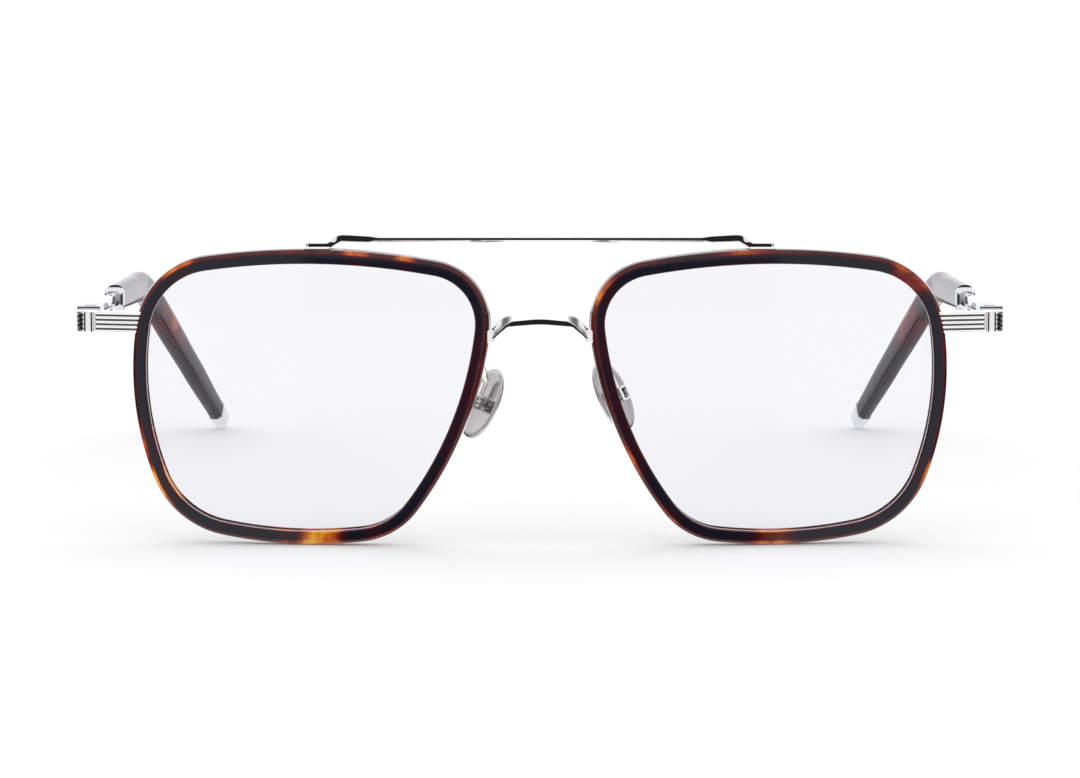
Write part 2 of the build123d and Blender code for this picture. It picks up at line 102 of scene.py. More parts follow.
# Its sections: share of the way out, height, depth and the part of the height that the lower
# front facet takes.
BROW_SECTIONS = (
    (0.0, 0.9, 2.0, 0.48),
    (0.69, 0.9, 2.0, 0.48),
    (0.74, 1.2, 2.0, 0.2),
    (0.83, 1.3, 2.0, 0.2),
    (0.86, 1.25, 2.0, 0.2),
    (0.9, 0.95, 1.8, 0.15),
    (0.93, 0.8, 1.8, 0.15),
    (1.0, 0.8, 1.8, 0.15),
)
BAR_FACET_DEPTH = 0.5  # how far the lower front facet runs back underneath
BAR_EDGE = 0.09  # rounding of the edges between facets
BAR_END_ROUND = 0.35
BAR_FOOT = (32.2, 35.7, 45.95)  # inner end, outer end and middle of the foot under each end
BAR_FOOT_SIZE = (2.1, 0.85)
BAR_FOOT_ROUNDS = (0.1, 0.4)  # inner and outer end
BAR_FOOT_FORWARD = 0.1  # from the middle of the bar's depth

# End pieces, with the grooves across their faces and the plain collar before the corner.
END_HEIGHT = 3.4
END_V = 34.05
END_X = 71.35
END_INNER = 60.2
END_HIDDEN = 61.2  # where the drawn end piece starts, behind the acetate
END_FRONT = 4.8
END_SWEEP = 7.0
END_THICKNESS = 1.9
END_BACK = 8.5
END_ROUND = 1.3
END_EDGE = 0.22  # rounding of the upper and lower edges
GROOVE_OFFSETS = (-1.05, -0.35, 0.35, 1.05)
GROOVE_HEIGHT = 0.36
GROOVE_DEPTH = 0.3
GROOVE_END = 2.95
# Half-round groove: shares of its half height and of its depth.
GROOVE_SHAPE = ((-1, 0), (-0.85, 0.5), (-0.45, 0.92), (0, 1), (0.45, 0.92), (0.85, 0.5), (1, 0))
COLLAR_MIDDLE = 2.0
COLLAR_WIDTH = 1.3
COLLAR_PROUD = 0.12
ARM_THICKNESS = 3.5
HINGE_X = 69.6
HINGE_BACK = 11.5

# Closing lugs of the split eyewires.
LUG_WIDTH = 4.8
LUG_MIDDLE = 63.5
LUG_HEIGHT = 3.4
LUG_DEPTH = 2.4
LUG_ROUND = 0.25
RIM_SPLIT = 0.3

# Temples, in the hinge's plane: x outward, y back and z up.
TEMPLE_SLOPE = 3.0
LEAF_END = 9.0
SLEEVE_START = (0.25, 50.0, 0.0)
KNEE = (-1.2, 91.0, 0.0)
TIP = (-12.6, 129.5, -26.8)
KNEE_RADIUS = 24.0
TEMPLE_STEP = 0.8  # length of the steps along the curves of a temple
CORE_RADIUS = 0.6
CORE_SHORT = 5.0
# Sections: share of the way along, height and thickness.
BAR_SECTIONS = ((0.0, 2.1, 1.4), (0.4, 2.2, 1.5), (0.8, 2.4, 1.7), (1.0, 3.0, 2.4))
SLEEVE_SECTIONS = (
    (0.0, 4.3, 3.0),
    (0.25, 4.7, 3.0),
    (0.45, 5.3, 3.1),
    (0.62, 5.3, 3.0),
    (0.82, 4.6, 2.8),
    (1.0, 3.7, 2.5),
)
SLEEVE_ROUNDS = (0.25, 0.15)  # front and back end
FERRULE = (2.4, 3.6, 3.2)  # length, height and width
# Ferrule sections: share of its length from the sleeve, and share of its full height and width.
FERRULE_TAPER = ((0.0, 1.0), (0.5, 1.0), (0.62, 0.97), (1.0, 0.66))
CAP = (4.2, 3.9, 2.7)  # length, height and width
CAP_SHARES = (0, 0.04, 0.4, 0.78)  # of its length, before the rounded end
CAP_TAPER = (0.1, 0.14)  # shares that its height and width lose on the way
CAP_ROUNDS = (0.12, 0.85)  # front and back end

# Nose pads with their lugs, and the arms that carry them.
PAD_CENTRES = {"left": (8.4, 8.6, 20.9), "right": (10.9, 8.6, 22.1)}
PAD_SPLAY = 42.0
PAD_TILT = 25.0
PAD_WIDTH = 6.6
PAD_LENGTH = 11.6
PAD_PIVOT = 2.1
PAD_BOX_HEIGHT = 2.2
# Domed face, rounded rim and slightly hollow back: shares of the outline, and heights.
PAD_PROFILE = (
    (0.06, 0.0),
    (0.35, -0.02),
    (0.6, -0.06),
    (0.8, -0.13),
    (0.92, -0.27),
    (0.985, -0.48),
    (1.0, -0.68),
    (0.985, -0.88),
    (0.95, -1.02),
    (0.9, -1.08),
    (0.82, -1.04),
    (0.6, -0.98),
    (0.3, -0.96),
    (0.06, -0.95),
)
POST_HEIGHTS = (-0.9, -2.6)  # of the two ends of a pad's lug
POST_SIZE = (0.85, 1.1)
POST_ROUND = 0.25
ARM_RADIUS = 0.45
ARM_START = (9.05, 27.9, -2.7)
ARM_SETBACK = 3.4
ARM_RISE = 2.6
ARM_ROUND = 1.2

# ---------------------------------------------------------------- planes


def plane(origin, across, normal):
    """Matrix from a plane's own coordinates to the row frame, both in millimetres."""
    up = normal.cross(across)
    matrix = Matrix((across, up, normal)).transposed().to_4x4()
    matrix.translation = origin
    return matrix


def axes(matrix):
    """The three axes of a plane's matrix."""
    return [matrix.col[index].to_3d() for index in range(3)]


lean = radians(FRONT_LEAN)
FRONT = plane(Vector((0, FRONT_Y, 0)), Vector((1, 0, 0)), Vector((0, -cos(lean), -sin(lean))))
FRONT_ACROSS, FRONT_UP, FORWARD = axes(FRONT)

wrap = radians(WRAP)
EYE = plane(
    FRONT @ Vector((EYE_X, RING_WIDTH - OPENING_BOTTOM, APEX)),
    FRONT_ACROSS * cos(wrap) - FORWARD * sin(wrap),
    FORWARD * cos(wrap) + FRONT_ACROSS * sin(wrap),
)

slope = radians(TEMPLE_SLOPE)
HINGE = plane(
    FRONT @ Vector((HINGE_X, END_V, -HINGE_BACK)),
    Vector((1, 0, 0)),
    Vector((0, sin(slope), cos(slope))),
)
HINGE_UP = axes(HINGE)[2]

# ---------------------------------------------------------------- outlines and paths


def rounded_outline(corners, steps=4):
    """Closed outline through (x, y, radius) corners, each turned into an arc."""
    outline = []
    for index, (x, y, radius) in enumerate(corners):
        here = Vector((x, y))
        if radius == 0:
            outline.append(here)
            continue
        before = (Vector(corners[index - 1][:2]) - here).normalized()
        after = (Vector(corners[(index + 1) % len(corners)][:2]) - here).normalized()
        half = before.angle(after) / 2
        centre = here + (before + after).normalized() * radius / sin(half)
        start = here + before * radius / tan(half) - centre
        end = here + after * radius / tan(half) - centre
        first = atan2(start.y, start.x)
        turn = (atan2(end.y, end.x) - first + pi) % tau - pi
        for step in range(steps + 1):
            angle = first + turn * step / steps
            outline.append(centre + Vector((cos(angle), sin(angle))) * radius)
    return outline


def rounded_path(points, radii, spacing=0.25):
    """Path through points with its inner corners rounded, in steps of about the spacing."""
    points = [Vector(point) for point in points]
    path = [points[0]]
    for before, here, after, radius in zip(points, points[1:], points[2:], radii):
        back = (before - here).normalized()
        onward = (after - here).normalized()
        half = back.angle(onward) / 2
        start = here + back * radius / tan(half)
        centre = here + (back + onward).normalized() * radius / sin(half)
        turn = pi - 2 * half
        steps = max(4, ceil(turn * radius / spacing))
        out = (start - centre).normalized()
        along = -back
        for step in range(steps + 1):
            angle = turn * step / steps
            path.append(centre + (out * cos(angle) + along * sin(angle)) * radius)
    path.append(points[-1])
    even = [path[0]]
    for start, end in zip(path, path[1:]):
        pieces = max(1, round((end - start).length / spacing))
        even += [start.lerp(end, (index + 1) / pieces) for index in range(pieces)]
    return even


def side_centre(index):
    """Centre of one side arc of the lens opening."""
    start = Vector(CORNERS[index])
    chord = Vector(CORNERS[(index + 1) % 4]) - start
    inward = Vector((-chord.y, chord.x)).normalized()
    return start + chord / 2 + inward * sqrt(SIDE_RADII[index] ** 2 - (chord.length / 2) ** 2)


def corner_centre(index):
    """Centre of the arc that rounds one corner of the lens opening."""
    before = side_centre(index - 1)
    after = side_centre(index)
    reach_before = SIDE_RADII[index - 1] - CORNER_RADII[index]
    reach_after = SIDE_RADII[index] - CORNER_RADII[index]
    gap = after - before
    along = (gap.length_squared + reach_before**2 - reach_after**2) / (2 * gap.length)
    aside = sqrt(reach_before**2 - along**2)
    middle = before + gap.normalized() * along
    normal = Vector((-gap.y, gap.x)).normalized()
    corner = Vector(CORNERS[index])
    return min(
        (middle + normal * aside, middle - normal * aside),
        key=lambda point: (point - corner).length,
    )


def opening_outline(spacing):
    """Points of the lens opening and the outward direction at each, anticlockwise."""
    arcs = []
    for index in range(4):
        corner = corner_centre(index)
        start = (corner - side_centre(index - 1)).normalized()
        end = (corner - side_centre(index)).normalized()
        arcs.append((corner, CORNER_RADII[index], start, end))
        following = corner_centre((index + 1) % 4)
        side = side_centre(index)
        arcs.append((side, SIDE_RADII[index], end, (following - side).normalized()))
    outline = []
    for centre, radius, start, end in arcs:
        first = atan2(start.y, start.x)
        turn = (atan2(end.y, end.x) - first) % tau
        steps = ceil(turn * radius / spacing)
        for step in range(steps):
            angle = first + turn * step / steps
            outward = Vector((cos(angle), sin(angle)))
            outline.append((centre + outward * radius, outward))
    return outline


def on_sphere(x, y, depth):
    """Point at (x, y) in the eye's plane, at a depth behind the front sphere."""
    height = sqrt((FRONT_RADIUS - depth) ** 2 - x * x - y * y) - FRONT_RADIUS
    return EYE @ Vector((x, y, height))


def between(stations, share):
    """Values at a share of the way, eased between (share, value, value ...) stations."""
    for before, after in zip(stations, stations[1:]):
        if share <= after[0]:
            part = max(0.0, (share - before[0]) / (after[0] - before[0]))
            part = part * part * (3 - 2 * part)
            return [a + (b - a) * part for a, b in zip(before[1:], after[1:])]
    return list(stations[-1][1:])


# ---------------------------------------------------------------- shells


def shell(rings, loop=False, flip=False):
    """(vertices, faces) of a skin over rings of equal length, capped unless it is a loop."""
    count = len(rings[0])
    vertices = [point for ring in rings for point in ring]
    faces = []
    for row in range(len(rings) if loop else len(rings) - 1):
        onward = (row + 1) % len(rings)
        for column in range(count):
            beside = (column + 1) % count
            faces.append(
                (
                    row * count + column,
                    row * count + beside,
                    onward * count + beside,
                    onward * count + column,
                )
            )
    if not loop:
        faces.append(tuple(reversed(range(count))))
        faces.append(tuple(range(len(vertices) - count, len(vertices))))
    if flip:
        faces = [tuple(reversed(face)) for face in faces]
    return vertices, faces


def superellipse(width, height, power=2.6, count=28):
    """Closed rounded section in (across, up) points."""
    section = []
    for index in range(count):
        angle = tau * index / count
        c, s = cos(angle), sin(angle)
        x = abs(c) ** (2 / power) * (1 if c >= 0 else -1) * width / 2
        y = abs(s) ** (2 / power) * (1 if s >= 0 else -1) * height / 2
        section.append(Vector((x, y)))
    return section


def sweep(path, section_at, up, start_round=0.0, end_round=0.0):
    """Skin of a section carried along a path. section_at(share) gives (across, up) points."""
    lengths = [0.0]
    for before, after in zip(path, path[1:]):
        lengths.append(lengths[-1] + (after - before).length)
    rings = []
    for index, point in enumerate(path):
        along = (path[min(index + 1, len(path) - 1)] - path[max(index - 1, 0)]).normalized()
        across = up.cross(along).normalized()
        upward = along.cross(across)
        section = section_at(lengths[index] / lengths[-1])
        rings.append([point + across * a + upward * b for a, b in section])
    first = (path[0] - path[1]).normalized()
    last = (path[-1] - path[-2]).normalized()
    before = round_off(rings[0], first, start_round)
    after = round_off(rings[-1], last, end_round)
    return shell(before[::-1] + rings + after)


def round_off(ring, direction, radius, steps=5):
    """Rings past a ring that round its end off by a radius."""
    if radius == 0:
        return []
    centre = sum(ring, Vector()) / len(ring)
    rings = []
    for step in range(1, steps + 1):
        angle = radians(90) * step / steps
        inset = radius * (1 - cos(angle))
        shift = direction * radius * sin(angle)
        rings.append([point - (point - centre).normalized() * inset + shift for point in ring])
    return rings


def rim_skin(section):
    """Skin of an (outward, depth) section carried round the lens opening."""
    rings = []
    for point, outward in opening_outline(0.5):
        ring = []
        for grow, depth in section:
            x, y = point + outward * grow
            ring.append(on_sphere(x, y, depth))
        rings.append(ring)
    return shell(rings, loop=True)


def box_skin(matrix, size, radius, steps=3):
    """Skin of a box centred on a plane's origin, with its long edges and its ends rounded."""
    width, height, depth = size
    corners = [
        (width / 2, height / 2, radius),
        (-width / 2, height / 2, radius),
        (-width / 2, -height / 2, radius),
        (width / 2, -height / 2, radius),
    ]
    outline = rounded_outline(corners, steps)
    low = [matrix @ Vector((x, y, -depth / 2 + radius)) for x, y in outline]
    high = [matrix @ Vector((x, y, depth / 2 - radius)) for x, y in outline]
    normal = axes(matrix)[2]
    rings = round_off(low, -normal, radius, steps)[::-1]
    rings += [low, high] + round_off(high, normal, radius, steps)
    return shell(rings)


# ---------------------------------------------------------------- pieces


def make_piece(name, shells, material, body, nodes, slot, mirrored=False, attributes=None):
    """One smooth piece from its skins, in place of CAD nodes and riding on their body."""
    vertices = []
    faces = []
    for points, quads in shells:
        faces += [tuple(index + len(vertices) for index in quad) for quad in quads]
        vertices += points
    if mirrored:
        faces = [tuple(reversed(face)) for face in faces]
        vertices = [Vector((-point.x, point.y, point.z)) for point in vertices]
    mesh = bpy.data.meshes.new(name)
    mesh.from_pydata([point * MM for point in vertices], [], faces)
    for key, values in (attributes or {}).items():
        mesh.attributes.new(key, "FLOAT", "POINT").data.foreach_set("value", values)
    skin = bmesh.new()
    skin.from_mesh(mesh)
    bmesh.ops.recalc_face_normals(skin, faces=skin.faces)
    skin.to_mesh(mesh)
    skin.free()
    mesh.shade_smooth()
    piece = bpy.data.objects.new(name, mesh)
    bpy.context.scene.collection.objects.link(piece)
    mesh.materials.append(material)
    weighted = piece.modifiers.new("Weighted normals", "WEIGHTED_NORMAL")
    weighted.weight = 80
    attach(piece, body)
    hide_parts(*nodes)
    return piece


def make_pair(name, shells, material, body, slot, **more):
    """The right-hand piece and its mirror image. body may hold {} for the side's name."""
    for side in ("right", "left"):
        make_piece(
            f"{name}_{side}",
            shells,
            material,
            body.format(side),
            [f"{name}_{side}"],
            slot,
            mirrored=side == "left",
            **more,
        )


# ---------------------------------------------------------------- materials


def new_material(name):
    """A material with its node tree, its Principled shader and its output."""
    material = bpy.data.materials.new(name)
    material.use_nodes = True
    tree = material.node_tree
    return material, tree, tree.nodes["Principled BSDF"], tree.nodes["Material Output"]


def add_node(tree, kind, inputs=None, **settings):
    """A node with its settings and inputs, where an input is a value or a socket to link."""
    node = tree.nodes.new(kind)
    for key, value in settings.items():
        setattr(node, key, value)
    for key, value in (inputs or {}).items():
        if isinstance(value, bpy.types.NodeSocket):
            tree.links.new(value, node.inputs[key])
        else:
            node.inputs[key].default_value = value
    return node


def maths(tree, operation, first, second=0.0):
    """Result of a Math node."""
    return add_node(tree, "ShaderNodeMath", {0: first, 1: second}, operation=operation).outputs[0]


def noise_of(tree, scale, detail=2.0, distortion=0.0):
    """Noise in object coordinates, from 0 to 1, with scale in waves per metre."""
    place = add_node(tree, "ShaderNodeTexCoord").outputs["Object"]
    inputs = {"Vector": place, "Scale": scale, "Detail": detail, "Distortion": distortion}
    return add_node(tree, "ShaderNodeTexNoise", inputs).outputs["Fac"]


def ramp_of(tree, factor, stops):
    """Colour ramp through (position, colour) stops."""
    node = add_node(tree, "ShaderNodeValToRGB", {"Fac": factor})
    elements = node.color_ramp.elements
    for _ in range(len(stops) - 2):
        elements.new(0.5)
    for element, (position, colour) in zip(elements, stops):
        element.position = position
        element.color = (*colour, 1.0)
    return node.outputs["Color"]


def set_inputs(node, **values):
    """Set a shader's inputs by name, with underscores for spaces."""
    for key, value in values.items():
        node.inputs[key.replace("_", " ").title().replace("Ior", "IOR")].default_value = value


# Colours of the acetate from its coldest to its warmest.
TORTOISE = (
    (0.0, (0.008, 0.0085, 0.016)),
    (0.22, (0.038, 0.005, 0.008)),
    (0.45, (0.140, 0.012, 0.011)),
    (0.70, (0.500, 0.095, 0.010)),
    (1.0, (0.800, 0.400, 0.050)),
)
PALLADIUM = (0.93, 0.92, 0.91)
# Painted shade in the grooves of the end pieces, and a painted dark reflection on their corners.
GROOVE_SHADE = (0.16, 0.16, 0.165)
CORNER_SHADE = (0.045, 0.045, 0.045)  # painted dark reflection on the notched outer corners of the end pieces
CLOUD = (190.0, 4.0, 0.8)  # noise: waves per metre, detail and distortion
STREAK = (700.0, 3.0, 0.3)
GROOVE_FLOOR_SHADE = 0.78  # painted shade: "depth" attribute at the bottom of a groove, where a corner has 1
LENS_TINT = (0.893, 0.895, 0.925)
LENS_SHADOW = (0.94, 0.95, 0.97)  # what is left of the light that falls through a lens


def tortoise_material():
    """Polished tortoiseshell acetate: cloudy warm patches in near-black, under a clear gloss."""
    material, tree, shader, _ = new_material("tortoise_acetate")
    warmth = add_node(tree, "ShaderNodeAttribute", attribute_name="warmth").outputs["Fac"]
    cloud = maths(tree, "MULTIPLY_ADD", noise_of(tree, *CLOUD), 2.2)
    cloud.node.inputs[2].default_value = -0.1
    streak = maths(tree, "SUBTRACT", noise_of(tree, *STREAK), 0.5)
    level = maths(tree, "MULTIPLY", warmth, cloud)
    level = maths(tree, "ADD", level, maths(tree, "MULTIPLY", streak, 0.14))
    tree.links.new(ramp_of(tree, level, TORTOISE), shader.inputs["Base Color"])
    polish = maths(tree, "MULTIPLY_ADD", noise_of(tree, 900.0, 2.0), 0.06)
    polish.node.inputs[2].default_value = 0.05
    tree.links.new(polish, shader.inputs["Roughness"])
    set_inputs(shader, ior=1.35)
    return material


def metal_material(name, colour, roughness, spread, scratch_scale, scratch_depth, shaded=False):
    """Metal with fine polishing marks. A shaded one has painted shade, darker by its "depth"
    attribute.
    """
    material, tree, shader, _ = new_material(name)
    set_inputs(shader, base_color=(*colour, 1.0), metallic=1.0)
    if shaded:
        depth = add_node(tree, "ShaderNodeAttribute", attribute_name="depth").outputs["Fac"]
        # Painted shade down to the groove floors, and the painted dark reflection of the corners at
        # 1.
        stops = ((0.1, colour), (0.7, GROOVE_SHADE), (0.8, GROOVE_SHADE), (1.0, CORNER_SHADE))
        tree.links.new(ramp_of(tree, depth, stops), shader.inputs["Base Color"])
    rough = maths(tree, "MULTIPLY_ADD", noise_of(tree, 450.0, 3.0), spread)
    rough.node.inputs[2].default_value = roughness
    tree.links.new(rough, shader.inputs["Roughness"])
    height = noise_of(tree, scratch_scale, 3.0)
    bump = add_node(
        tree, "ShaderNodeBump", {"Height": height, "Strength": 0.25, "Distance": scratch_depth}
    )
    tree.links.new(bump.outputs["Normal"], shader.inputs["Normal"])
    return material


def lens_material():
    """Clear lens with a faint cool tint, which casts hardly any shadow."""
    material, tree, shader, output = new_material("lens_glass")
    set_inputs(shader, base_color=(*LENS_TINT, 1.0), roughness=0.0, ior=1.2)
    set_inputs(shader, transmission_weight=1.0)
    path = add_node(tree, "ShaderNodeLightPath")
    clear = add_node(tree, "ShaderNodeBsdfTransparent", {"Color": (*LENS_SHADOW, 1.0)})
    mix = add_node(tree, "ShaderNodeMixShader", {0: path.outputs["Is Shadow Ray"]})
    tree.links.new(shader.outputs[0], mix.inputs[1])
    tree.links.new(clear.outputs[0], mix.inputs[2])
    tree.links.new(mix.outputs[0], output.inputs["Surface"])
    return material


acetate = tortoise_material()
# Metals: colour, roughness and its spread, then scratches in waves per metre and their depth in
# metres.
polished = metal_material("polished_palladium", PALLADIUM, 0.03, 0.05, 2500.0, 0.000002)
# The end pieces' metal, with painted shade in its grooves and a painted dark reflection on its
# corners.
painted_shade_palladium = metal_material(
    "palladium_with_painted_shade", PALLADIUM, 0.03, 0.05, 2500.0, 0.000002, shaded=True
)
satin = metal_material("satin_titanium", (0.58, 0.56, 0.56), 0.17, 0.10, 3500.0, 0.000006)
brushed = metal_material("brushed_cap", (0.74, 0.74, 0.75), 0.14, 0.08, 3000.0, 0.000004)
steel = metal_material("screw_steel", (0.70, 0.69, 0.68), 0.14, 0.10, 3000.0, 0.000004)
glass = lens_material()

# ---------------------------------------------------------------- rims and lenses

GLOW_START = 0.82  # from the outer edge, where the painted glow starts on the front face
GLOW_DEPTH = 0.12  # behind the front face, where the painted glow is full
PAINTED_THIN_GLOW = 0.28  # painted glow, as warmth, that the thin edges have everywhere
# Corners of the ring's section: outward, depth and radius.
RING_SECTION = (
    (0.0, 0.0, 0.3),
    (RING_WIDTH - GLOW_START, 0.0, 0.0),
    (RING_WIDTH - RING_BEVEL[0], 0.0, 0.1),
    (RING_WIDTH, RING_BEVEL[1], 0.15),
    (RING_WIDTH, FLANGE_DEPTH, 0.08),
    (SPIGOT_WIDTH, FLANGE_DEPTH, 0.0),
    (SPIGOT_WIDTH, RING_DEPTH, 0.12),
    (0.0, RING_DEPTH, 0.2),
    (0.0, LENS_BACK + FIT, 0.0),
    (LENS_BITE - LENS_BEVEL + FIT, LENS_BACK + FIT, 0.0),
    (LENS_BITE + FIT, LENS_BACK - LENS_BEVEL + FIT, 0.0),
    (LENS_BITE + FIT, LENS_FRONT + LENS_BEVEL - FIT, 0.0),
    (LENS_BITE - LENS_BEVEL + FIT, LENS_FRONT - FIT, 0.0),
    (0.0, LENS_FRONT - FIT, 0.0),
)

# Warm patches of each ring, in the front's plane: x outward, v up, reach, warmth at the thin
# edges and warmth on the front face.
RING_PATCHES = {
    "right": (
        (9.5, 24.0, 12.0, 0.0, 0.13),
        (57.5, 42.0, 3.6, 0.35, 0.55),
        (31.0, 45.2, 3.6, 0.30, 0.05),
        (10.0, 39.5, 2.2, 0.40, 0.10),
        (14.3, 14.0, 3.4, 0.40, 0.05),
        (36.0, 0.8, 3.4, 0.40, 0.30),
        (60.5, 10.0, 2.6, 0.40, 0.10),
        (19.5, 4.5, 2.0, 0.20, 0.10),
    ),
    "left": (
        (9.5, 24.0, 12.0, 0.0, 0.13),
        (55.0, 42.5, 3.0, 0.30, 0.05),
        (28.0, 45.2, 2.2, 0.40, 0.05),
        (20.6, 44.3, 1.6, 0.30, 0.05),
        (60.5, 16.0, 3.0, 0.25, 0.05),
        (57.8, 9.0, 3.6, 0.60, 0.10),
        (33.8, 0.8, 3.4, 0.70, 0.85),
        (25.5, 1.4, 2.0, 0.30, 0.10),
        (39.5, 1.6, 1.8, 0.30, 0.05),
    ),
}


def ring_warmth(side, vertices, section):
    """How warm the acetate is at each vertex: its patches, and a painted glow where it is thin."""
    back = FRONT.inverted()
    values = []
    for index, point in enumerate(vertices):
        x, v, _ = back @ point
        grow, depth = section[index % len(section)]
        outer = (grow - RING_WIDTH + GLOW_START) / (GLOW_START - RING_BEVEL[0])
        # Painted glow where the acetate is thin: on the outer bevel and on the walls behind the
        # front face.
        thin = min(1.0, max(depth / GLOW_DEPTH, outer, 0.0))
        warm = PAINTED_THIN_GLOW * thin
        for patch_x, patch_v, reach, edge, face in RING_PATCHES[side]:
            distance = ((x - patch_x) ** 2 + (v - patch_v) ** 2) / reach**2
            warm += (face + (edge - face) * thin) * exp(-distance * distance)
        values.append(warm)
    return values


ring_section = rounded_outline(RING_SECTION)
ring_skin = rim_skin(ring_section)
for side in ("right", "left"):
    make_piece(
        f"windsor_ring_{side}",
        [ring_skin],
        acetate,
        "front",
        [f"windsor_ring_{side}"],
        "acetate",
        mirrored=side == "left",
        attributes={"warmth": ring_warmth(side, ring_skin[0], ring_section)},
    )

wire_back = FLANGE_DEPTH + WIRE_DEPTH
WIRE_SECTION = (
    (SPIGOT_WIDTH + FIT, FLANGE_DEPTH + FIT, 0.1),
    (RING_WIDTH + WIRE_PROUD, FLANGE_DEPTH + FIT, 0.22),
    (RING_WIDTH + WIRE_PROUD, wire_back, 0.35),
    (SPIGOT_WIDTH + FIT, wire_back, 0.1),
)
lug_front = END_FRONT + END_THICKNESS
half_lug = (LUG_HEIGHT - RIM_SPLIT) / 2
lugs = []
for level in (-1, 1):
    lug_middle = FRONT @ Vector(
        (LUG_MIDDLE, END_V + level * (RIM_SPLIT + half_lug) / 2, -lug_front - LUG_DEPTH / 2)
    )
    lug_plane = plane(lug_middle, FRONT_ACROSS, FORWARD)
    lugs.append(box_skin(lug_plane, (LUG_WIDTH, half_lug, LUG_DEPTH), LUG_ROUND))
make_pair(
    "eyewire", [rim_skin(rounded_outline(WIRE_SECTION)), *lugs], polished, "front", "polished_metal"
)


def lens_skin(steps=12):
    """Skin of a lens: two concentric spheres joined by a bevelled edge."""
    outline = opening_outline(1.2)
    bevel_start = LENS_BITE - LENS_BEVEL
    # Rings from the front to the back: share of the opening, growth past it and depth. The two
    # close together at each bevel keep the spheres smooth up to it.
    profile = [(step / steps, 0.0, LENS_FRONT) for step in range(1, steps)]
    profile += [
        (1.0, 0.0, LENS_FRONT),
        (1.0, bevel_start - 0.03, LENS_FRONT),
        (1.0, bevel_start, LENS_FRONT),
        (1.0, LENS_BITE, LENS_FRONT + LENS_BEVEL),
        (1.0, LENS_BITE, LENS_BACK - LENS_BEVEL),
        (1.0, bevel_start, LENS_BACK),
        (1.0, bevel_start - 0.03, LENS_BACK),
        (1.0, 0.0, LENS_BACK),
    ]
    profile += [(step / steps, 0.0, LENS_BACK) for step in range(steps - 1, 0, -1)]
    rings = []
    for share, grow, depth in profile:
        ring = []
        for point, outward in outline:
            x, y = point * share + outward * grow
            ring.append(on_sphere(x, y, depth))
        rings.append(ring)
    return shell(rings)


make_pair("lens", [lens_skin()], glass, "front", "lens")

# ---------------------------------------------------------------- bridge and brow bar


def faceted(facets, height, depth, radius):
    """Section of a facetted bar in (across, up) points, with its corners rounded."""
    return rounded_outline([(a * depth, b * height, radius) for a, b in facets], 3)


def bridge_section(share):
    """Section of the bridge, the same at equal shares from either end."""
    height, depth, low, high = between(BRIDGE_SECTIONS, min(share, 1 - share))
    facets = ((-0.5, low), (-0.22, -0.5), (0.5, -0.5), (0.5, 0.5), (-0.1, 0.5), (-0.5, high))
    return faceted(facets, height, depth, BRIDGE_EDGE)


bridge_points = [FRONT @ Vector((-x, v, w)) for x, v, w in BRIDGE_HALF]
bridge_points += [FRONT @ Vector(point) for point in reversed(BRIDGE_HALF[:-1])]
bridge_rounds = [*BRIDGE_ROUNDS, *reversed(BRIDGE_ROUNDS[:-1])]
saddle = rounded_path(bridge_points, bridge_rounds)
bridge_skin = sweep(saddle, bridge_section, FRONT_UP)
feet = []
for direction in (-1, 1):
    x, v, w = BRIDGE_FOOT
    turn = Matrix.Rotation(radians(direction * BRIDGE_FOOT_TURN), 3, FRONT_UP)
    foot_middle = FRONT @ Vector((direction * x, v, w))
    foot_plane = plane(foot_middle, turn @ FRONT_ACROSS, turn @ FORWARD)
    feet.append(box_skin(foot_plane, BRIDGE_FOOT_SIZE, BRIDGE_FOOT_ROUND))
make_piece("bridge", [bridge_skin, *feet], polished, "front", ["bridge"], "polished_metal")


def brow_section(share):
    """Section of the brow bar, the same at equal shares from the middle."""
    height, depth, facet = between(BROW_SECTIONS, abs(2 * share - 1))
    back = BAR_FACET_DEPTH / depth - 0.5
    corners = ((-0.5, facet - 0.5), (back, -0.5), (0.5, -0.5), (0.5, 0.5), (-0.5, 0.5))
    return faceted(corners, height, depth, BAR_EDGE)


bar_middle = BAR_FRONT - BAR_DEPTH / 2
bar_points = [FRONT @ Vector((-x, v, bar_middle)) for x, v in reversed(BAR_HALF)]
bar_points += [FRONT @ Vector((x, v, bar_middle)) for x, v in BAR_HALF]
brow_path = rounded_path(bar_points, [*reversed(BAR_ROUNDS), *BAR_ROUNDS])
brow_skin = sweep(brow_path, brow_section, FRONT_UP, BAR_END_ROUND, BAR_END_ROUND)
brow_feet = []
foot_start, foot_end, foot_height = BAR_FOOT
foot_depth = bar_middle + BAR_FOOT_FORWARD
for direction in (-1, 1):
    ends = [Vector((direction * x, foot_height, foot_depth)) for x in (foot_start, foot_end)]
    foot_path = rounded_path([FRONT @ end for end in ends], [], 0.4)
    foot_outline = superellipse(*BAR_FOOT_SIZE, 2.2)
    brow_feet.append(sweep(foot_path, lambda share: foot_outline, FRONT_UP, *BAR_FOOT_ROUNDS))
make_piece("brow_bar", [brow_skin, *brow_feet], polished, "front", ["brow_bar"], "polished_metal")

# ---------------------------------------------------------------- end pieces


def end_profile(groove, proud, steps=3):
    """Upright profile of the end piece's face: (height, depth) from its lower to its upper edge."""
    half = END_HEIGHT / 2
    low = []
    for step in range(steps + 1):
        angle = radians(90) * step / steps
        low.append((-half + END_EDGE * (1 - cos(angle)), END_EDGE * (1 - sin(angle))))
    high = [(-height, depth) for height, depth in reversed(low)]
    ribs = []
    for middle in GROOVE_OFFSETS:
        for share, depth in GROOVE_SHAPE:
            ribs.append((middle + share * GROOVE_HEIGHT / 2, depth * GROOVE_DEPTH * groove))
    return [(height, depth - proud * COLLAR_PROUD) for height, depth in low + ribs + high]


